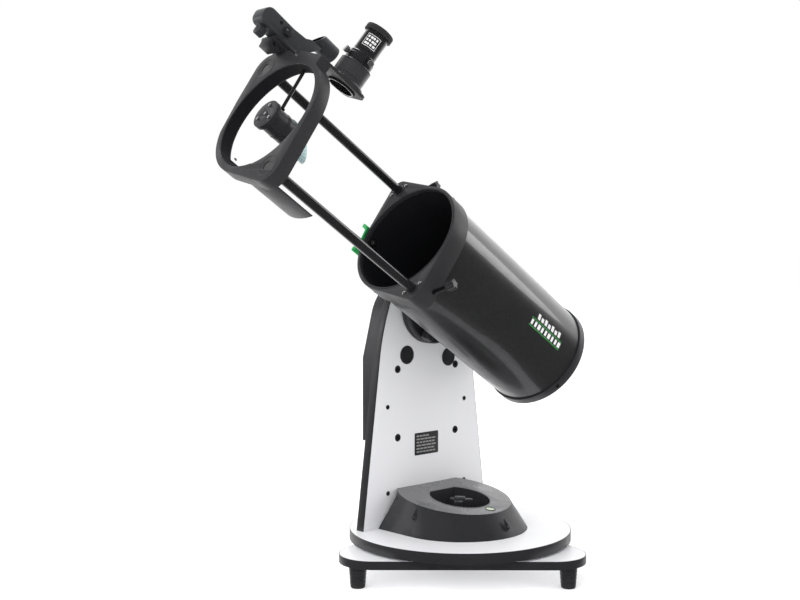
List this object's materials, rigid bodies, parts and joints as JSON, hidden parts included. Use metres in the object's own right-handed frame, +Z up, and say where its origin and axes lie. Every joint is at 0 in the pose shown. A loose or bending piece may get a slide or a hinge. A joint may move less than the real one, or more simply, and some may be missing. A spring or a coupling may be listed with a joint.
{
  "type": "dobsonian telescope",
  "caption": "Tabletop single-arm Newtonian telescope: slide-out truss tube on a round motor-drive rocker base with a side panel, helical focuser and finder.",
  "frame": {"origin": "mouth of the tripod thread on the azimuth axis, at the underside of the ground board", "axes": "-Z runs down along the tripod thread's axis and +Z up; +X runs along the ground board's straight front edge, to the viewer's right; +Y runs away from that edge"},
  "size_m": [0.5065, 0.5847, 0.7847],
  "materials": {
    "white_laminate": "satin",
    "black_edge": "satin",
    "black_plastic": "satin",
    "label": "satin",
    "tube_paint": "gloss",
    "green_metal": "satin",
    "rod_metal": "gloss",
    "steel": "satin",
    "brass": "satin",
    "cast_alloy": "satin",
    "mirror_glass": "polished",
    "pad": "satin",
    "clear": "polished",
    "eyepiece_metal": "gloss",
    "chrome": "polished",
    "rubber": "matte",
    "board": "satin"
  },
  "bodies": {
    "base": {"ground_board": "white_laminate", "ground_edge_band": "black_edge", "feet": "black_plastic", "glide_pads": "pad", "pivot_post": "steel", "azimuth_worm_wheel": "brass"},
    "azimuth_knob": {"azimuth_clutch_knob": "black_plastic"},
    "turntable": {"turntable_board": "white_laminate", "turntable_edge_band": "black_edge", "bushes": "brass", "side_panel": "white_laminate", "side_panel_edge_band": "black_edge", "panel_bolts": "steel", "panel_screws": "steel", "panel_plugs": "black_plastic", "label_plate": "label", "drive_cover": "black_plastic", "bubble_level": "clear", "azimuth_worm": "steel", "azimuth_motor": "steel", "rear_housing": "black_plastic", "altitude_worm": "steel", "altitude_motor": "steel", "battery_box": "black_plastic", "main_circuit_board": "board"},
    "altitude": {"altitude_hub": "black_plastic", "altitude_shaft": "steel", "altitude_worm_wheel": "brass", "saddle": "cast_alloy"},
    "altitude_knob": {"altitude_clutch_knob": "black_plastic"},
    "clamp_knob": {"saddle_clamp_knob": "black_plastic"},
    "tube": {"dovetail_bar": "green_metal", "main_tube": "tube_paint", "front_ring": "black_plastic", "tube_fasteners": "steel", "rear_ring": "black_plastic", "mirror_cell": "steel", "primary_mirror": "mirror_glass", "collimation_bolts": "steel"},
    "rod_lock_1": {"rod_lock_knob_1": "black_plastic"},
    "rod_lock_2": {"rod_lock_knob_2": "black_plastic"},
    "cage": {"cage_ring": "black_plastic", "truss_rods": "rod_metal", "light_shield": "black_plastic", "secondary_vane_and_screws": "steel", "secondary_mirror": "mirror_glass", "secondary_holder": "black_plastic", "focuser_base": "black_plastic", "finder_shoe": "black_plastic", "finder_body": "black_plastic", "finder_lens": "clear"},
    "focuser_carrier": {"focuser_thread_ring": "eyepiece_metal"},
    "focuser": {"focuser_drawtube": "eyepiece_metal", "eyepiece_thumbscrews": "chrome", "eyepiece_body": "eyepiece_metal", "eyecup": "rubber", "eyepiece_lenses": "clear"},
    "finder_wheel": {"finder_tilt_wheel": "black_plastic"},
    "finder_dial": {"finder_switch_dial": "black_plastic"}
  },
  "joints": [
    {"name": "azimuth", "type": "hinge", "parent": "base", "child": "turntable", "pos_m": [0, 0, 0.03], "axis": [0, 0, 1], "continuous": true},
    {"name": "azimuth_clutch", "type": "hinge", "parent": "base", "child": "azimuth_knob", "pos_m": [0, 0, 0.06], "axis": [0, 0, 1], "range_deg": [-180, 180]},
    {"name": "altitude", "type": "hinge", "parent": "turntable", "child": "altitude", "pos_m": [0, 0, 0.358], "axis": [-0.6884, 0.7254, 0], "range_deg": [-32.5, 57.5]},
    {"name": "altitude_clutch", "type": "hinge", "parent": "altitude", "child": "altitude_knob", "pos_m": [-0.08604, 0.09067, 0.358], "axis": [-0.6884, 0.7254, 0], "range_deg": [-180, 180]},
    {"name": "saddle_clamp", "type": "hinge", "parent": "altitude", "child": "clamp_knob", "pos_m": [-0.04754, 0.01107, 0.31583], "axis": [0.3897, 0.3699, 0.8434], "range_deg": [-180, 180]},
    {"name": "dovetail_slide", "type": "slide", "parent": "altitude", "child": "tube", "axis": [-0.6118, -0.5806, 0.5373], "range_m": [-0.03, 0.03]},
    {"name": "rod_lock_turn_1", "type": "hinge", "parent": "tube", "child": "rod_lock_1", "pos_m": [-0.05307, -0.07656, 0.52566], "axis": [0.7891, -0.4955, 0.3631], "range_deg": [-180, 180]},
    {"name": "rod_lock_turn_2", "type": "hinge", "parent": "tube", "child": "rod_lock_2", "pos_m": [-0.03494, -0.21975, 0.39158], "axis": [0.7891, -0.4955, 0.3631], "range_deg": [-180, 180]},
    {"name": "cage_slide", "type": "slide", "parent": "tube", "child": "cage", "axis": [-0.6118, -0.5806, 0.5373], "range_m": [-0.254, 0]},
    {"name": "focuser_travel", "type": "slide", "parent": "cage", "child": "focuser_carrier", "axis": [0.5644, 0.1556, 0.8107], "range_m": [-0.0015, 0.008]},
    {"name": "focuser_turn", "type": "hinge", "parent": "focuser_carrier", "child": "focuser", "pos_m": [-0.1512, -0.25435, 0.66479], "axis": [0.5644, 0.1556, 0.8107], "range_deg": [-90, 480]},
    {"name": "finder_tilt", "type": "hinge", "parent": "cage", "child": "finder_wheel", "pos_m": [-0.26432, -0.25786, 0.71831], "axis": [-0.6118, -0.5806, 0.5373], "range_deg": [-180, 180]},
    {"name": "finder_switch", "type": "hinge", "parent": "cage", "child": "finder_dial", "pos_m": [-0.22976, -0.24436, 0.72014], "axis": [0.6884, -0.7254, 0], "range_deg": [0, 270]}
  ],
  "couplings": [
    {"joint": "focuser_turn", "follows": "focuser_travel", "rad_per_m": 1047.2}
  ]
}
